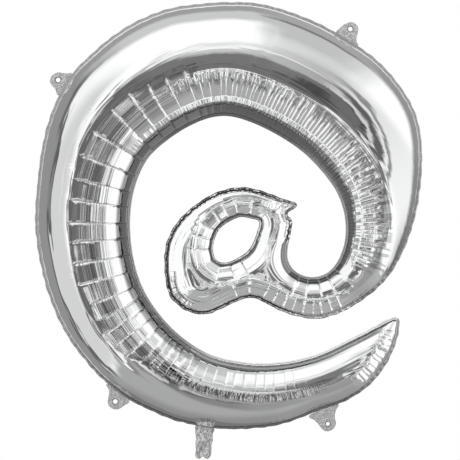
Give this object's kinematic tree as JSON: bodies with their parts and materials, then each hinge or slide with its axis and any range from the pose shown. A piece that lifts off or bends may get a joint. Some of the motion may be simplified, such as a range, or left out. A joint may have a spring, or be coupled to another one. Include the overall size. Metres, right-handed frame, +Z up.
{
  "type": "foil balloon",
  "caption": "Silver foil balloon shaped as an at sign: heat-sealed film panels, punched hanging tabs on the seam and a flat filling neck below.",
  "frame": {"origin": "middle of the balloon's body in the plane of its seam, where the air or a thread holds it up", "axes": "+Z up, -Y is the front that is read, +X to the right as seen from the front"},
  "size_m": [0.753, 0.177, 0.888],
  "materials": {
    "silver_film": "bright",
    "tab_film": "satin, embossed",
    "neck_film": "satin, creased",
    "valve_film": "satin"
  },
  "bodies": {
    "envelope": {"front_panel": "silver_film", "back_panel": "silver_film", "neck_lap": "neck_film"},
    "tab_upper_left": {"tab_upper_left": "tab_film"},
    "tab_upper_right": {"tab_upper_right": "tab_film"},
    "tab_lower_left": {"tab_lower_left": "tab_film"},
    "tab_lower_right": {"tab_lower_right": "tab_film"},
    "neck": {"neck_front": "neck_film", "neck_back": "neck_film", "neck_valve": "valve_film"}
  },
  "joints": [
    {"name": "tab_upper_left_fold", "type": "hinge", "parent": "envelope", "child": "tab_upper_left", "pos_m": [-0.31957, 0, 0.25668], "axis": [0.5197, 0, 0.8543], "range_deg": [-90, 90], "stiffness_Nm_per_rad": 0.0001},
    {"name": "tab_upper_right_fold", "type": "hinge", "parent": "envelope", "child": "tab_upper_right", "pos_m": [0.23096, 0, 0.34391], "axis": [0.8542, 0, -0.5199], "range_deg": [-90, 90], "stiffness_Nm_per_rad": 0.0001},
    {"name": "tab_lower_left_fold", "type": "hinge", "parent": "envelope", "child": "tab_lower_left", "pos_m": [-0.21598, 0, -0.34368], "axis": [-0.8102, 0, 0.5861], "range_deg": [-90, 90], "stiffness_Nm_per_rad": 0.0001},
    {"name": "tab_lower_right_fold", "type": "hinge", "parent": "envelope", "child": "tab_lower_right", "pos_m": [0.1845, 0, -0.37824], "axis": [-0.9285, 0, -0.3714], "range_deg": [-90, 90], "stiffness_Nm_per_rad": 0.0001},
    {"name": "neck_fold", "type": "hinge", "parent": "envelope", "child": "neck", "pos_m": [-0.04694, 0, -0.41181], "axis": [-0.9852, 0, 0.1713], "range_deg": [-90, 90], "stiffness_Nm_per_rad": 0.0002}
  ]
}
